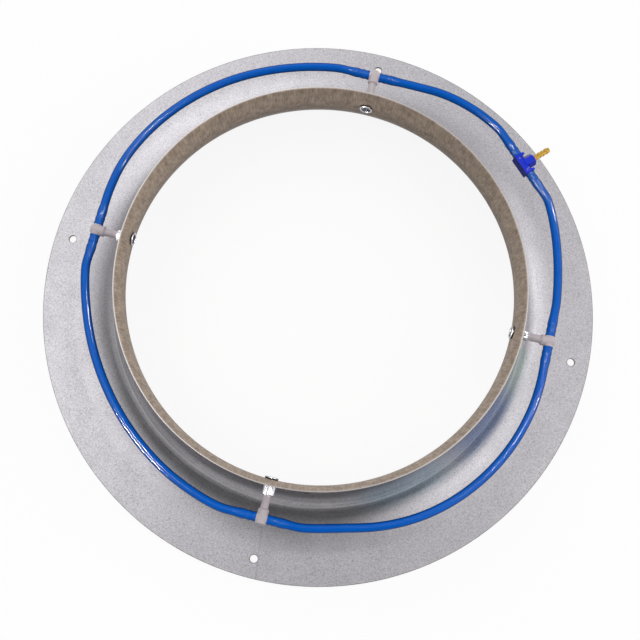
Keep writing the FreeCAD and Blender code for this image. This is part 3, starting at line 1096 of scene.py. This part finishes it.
    def ring_of_points(self, mesh: bmesh.types.BMesh, middle: Vector, along: Vector,
                       radius: float) -> list[bmesh.types.BMEdge]:
        """Circle of edges square to the hose.

        Args:
            mesh: The bmesh that it goes into.
            middle: Its centre.
            along: The hose's direction there.
            radius: Its radius.

        Returns:
            Its edges.
        """
        up = Vector((0.0, 0.0, 1.0))
        across = up.cross(along).normalized()
        place = Matrix((across, up, along)).transposed().to_4x4()
        place.translation = middle
        made = bmesh.ops.create_circle(mesh, cap_ends=False, segments=self.sides, radius=radius,
                                       matrix=place)
        return list({edge for vertex in made["verts"] for edge in vertex.link_edges})

    def build(self) -> list[bpy.types.Object]:
        """Builds and dresses the five hoses.

        Returns:
            The finished pieces.
        """
        return [dress(self.tube(route), HOSE_BLUE, [route.node]) for route in ROUTES]


def towards(azimuth: float, elevation: float) -> Vector:
    """Direction from the ring, from an azimuth and an elevation in degrees."""
    around, up = math.radians(azimuth), math.radians(elevation)
    return Vector((math.cos(around) * math.cos(up), math.sin(around) * math.cos(up), math.sin(up)))


@dataclass(frozen=True)
class Lamp:
    """A lamp that looks at the ring.

    Its azimuth and elevation are in degrees, and its brightness is that of its face.
    """

    name: str
    azimuth: float
    elevation: float
    brightness: float
    width: float
    height: float
    distance: float = 1.5

    def build(self, glossy_pieces: bpy.types.Collection) -> None:
        """Adds the lamp, which gives glossy pieces their highlights and no other light.

        Args:
            glossy_pieces: The pieces that it shines on.
        """
        light = bpy.data.lights.new(self.name, "AREA")
        light.shape = "RECTANGLE"
        light.size = self.width
        light.size_y = self.height
        light.energy = self.brightness * math.pi * self.width * self.height
        way = towards(self.azimuth, self.elevation)
        holder = bpy.data.objects.new(self.name, light)
        holder.location = way * self.distance
        holder.rotation_euler = way.to_track_quat("Z", "Y").to_euler()
        holder.visible_diffuse = False
        holder.light_linking.receiver_collection = glossy_pieces
        bpy.context.scene.collection.objects.link(holder)


@dataclass(frozen=True)
class Glow:
    """A soft place in the world, full to one angle from its middle and gone at another.

    It is bright, or dim where its brightness is below zero. All its angles are in degrees.
    """

    azimuth: float
    elevation: float
    full_to: float
    gone_at: float
    brightness: float


@dataclass
class Studio:
    """Camera, lamps, world and floor."""

    camera_place: tuple[float, float, float] = (0.0213, -0.1345, 0.6288)
    camera_turn: tuple[float, float, float] = (10.787, -1.101, 13.975)
    lens: float = 45.03
    sensor: float = 36.0
    bright_way: tuple[float, float] = (112.6, 49.0)
    world_low: float = 0.12
    world_high: float = 0.55
    floor_size: float = 12.0
    floor_colour: Colour = (0.93, 0.93, 0.93)
    floor_white: float = 0.88
    floor_mirrored: float = 0.4
    glows: tuple[Glow, ...] = (
        Glow(178.0, 73.0, 4.0, 15.0, 1.6),
        Glow(20.0, 70.0, 8.0, 22.0, 0.85),
        Glow(128.0, 38.0, 12.0, 34.0, 1.4),
        Glow(36.0, 24.0, 8.0, 28.0, 1.0),
        Glow(28.0, 10.0, 5.0, 16.0, 1.2),
        Glow(6.0, 14.0, 5.0, 16.0, 1.6),
        Glow(334.0, 34.0, 8.0, 30.0, 1.6),
        Glow(210.0, 52.0, 10.0, 28.0, 1.2),
        Glow(262.0, 80.0, 6.0, 24.0, -0.4),
    )
    lamps: tuple[Lamp, ...] = (
        Lamp("left_strip", 226.0, 30.0, 700.0, 0.45, 0.1),
        Lamp("right_spot", 3.0, 38.0, 600.0, 0.08, 0.12),
        Lamp("overhead_spot", 34.0, 79.0, 900.0, 0.06, 0.06),
        Lamp("high_left_spot", 182.0, 80.0, 900.0, 0.07, 0.07),
        Lamp("far_right_spot", 43.0, 42.0, 600.0, 0.08, 0.12),
    )

    def camera(self) -> None:
        """Adds the camera."""
        data = bpy.data.cameras.new("camera")
        data.lens = self.lens
        data.sensor_width = self.sensor
        data.clip_start = 0.01
        holder = bpy.data.objects.new("camera", data)
        holder.location = self.camera_place
        holder.rotation_euler = Euler([math.radians(turn) for turn in self.camera_turn], "XYZ")
        bpy.context.scene.collection.objects.link(holder)
        bpy.context.scene.camera = holder

    def world(self) -> None:
        """Sets the soft light from all round, which is brighter overhead and beyond the ring."""
        world = bpy.data.worlds.new("studio")
        world.use_nodes = True
        kit = Tree(world.node_tree)
        way = kit.node("TexCoord").outputs["Generated"]
        total = kit.span(self.nearness(kit, way, *self.bright_way), -0.4, 0.9, self.world_low,
                         self.world_high)
        for glow in self.glows:
            near = self.nearness(kit, way, glow.azimuth, glow.elevation)
            edges = [math.cos(math.radians(angle)) for angle in (glow.gone_at, glow.full_to)]
            total = kit.math("ADD", total, kit.span(near, *edges, 0.0, glow.brightness))
        background = world.node_tree.nodes["Background"]
        background.inputs["Color"].default_value = (1.0, 1.0, 1.0, 1.0)
        kit.feed(background.inputs["Strength"], total)
        bpy.context.scene.world = world

    def nearness(self, kit: Tree, way: object, azimuth: float, elevation: float) -> object:
        """Cosine of the angle between a direction and a fixed one.

        Args:
            kit: The world's tree.
            way: The direction's socket.
            azimuth: The fixed direction's azimuth, in degrees.
            elevation: Its elevation, in degrees.

        Returns:
            The cosine's socket.
        """
        given = {0: way, 1: towards(azimuth, elevation)}
        return kit.node("VectorMath", given, operation="DOT_PRODUCT").outputs["Value"]

    def floor(self) -> None:
        """Adds the pale floor that the ring lies on."""
        mesh = bmesh.new()
        bmesh.ops.create_grid(mesh, x_segments=1, y_segments=1, size=self.floor_size / 2)
        floor = as_object(mesh, "floor")
        material = bpy.data.materials.new("pale_floor")
        material.use_nodes = True
        kit = Tree(material.node_tree)
        shader = material.node_tree.nodes["Principled BSDF"]
        shader.inputs["Base Color"].default_value = (*self.floor_colour, 1.0)
        shader.inputs["Roughness"].default_value = 0.9
        shader.inputs["Specular IOR Level"].default_value = 0.0
        rays = kit.node("LightPath").outputs
        mirrored = kit.math("MAXIMUM", rays["Is Glossy Ray"], rays["Is Transmission Ray"])
        seen = kit.math("MAXIMUM", kit.math("MULTIPLY", rays["Is Camera Ray"], self.floor_white),
                        kit.math("MULTIPLY", mirrored, self.floor_mirrored))
        white = kit.node("Emission")
        both = kit.node("MixShader", {0: seen, 1: shader.outputs[0], 2: white.outputs[0]})
        kit.feed(material.node_tree.nodes["Material Output"].inputs[0], both.outputs[0])
        floor.data.materials.append(material)
        floor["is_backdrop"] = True

    def build(self, glossy: list[bpy.types.Object]) -> None:
        """Sets up the whole studio.

        Args:
            glossy: The pieces that the lamps give their highlights.
        """
        self.camera()
        self.world()
        self.floor()
        lit = bpy.data.collections.new("glossy_pieces")
        for piece in glossy:
            lit.objects.link(piece)
        for lamp in self.lamps:
            lamp.build(lit)
        bpy.context.scene.view_settings.view_transform = "Standard"


def write_sizes() -> None:
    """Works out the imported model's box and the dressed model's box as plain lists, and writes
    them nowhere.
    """
    boxes = {"cad": CAD_BOX, "visual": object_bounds()}
    plain = {name: [[float(value) for value in corner] for corner in box]
             for name, box in boxes.items()}


def main() -> None:
    """Builds the ring, its fittings and hoses, and the studio."""
    logging.basicConfig(level=logging.INFO, format="%(name)s %(message)s")
    make_ring_lines()
    make_speckle()
    make_mottle()
    SpunRing().build()
    fittings = TapFittings().build()
    glossy = [piece for piece in fittings if piece.name.startswith("tap_bush")]
    glossy += RingLine().build()
    outlet_tee, _ = Outlet().build()
    Studio().build(glossy + [outlet_tee])
    write_sizes()


if __name__ == "__main__":
    main()
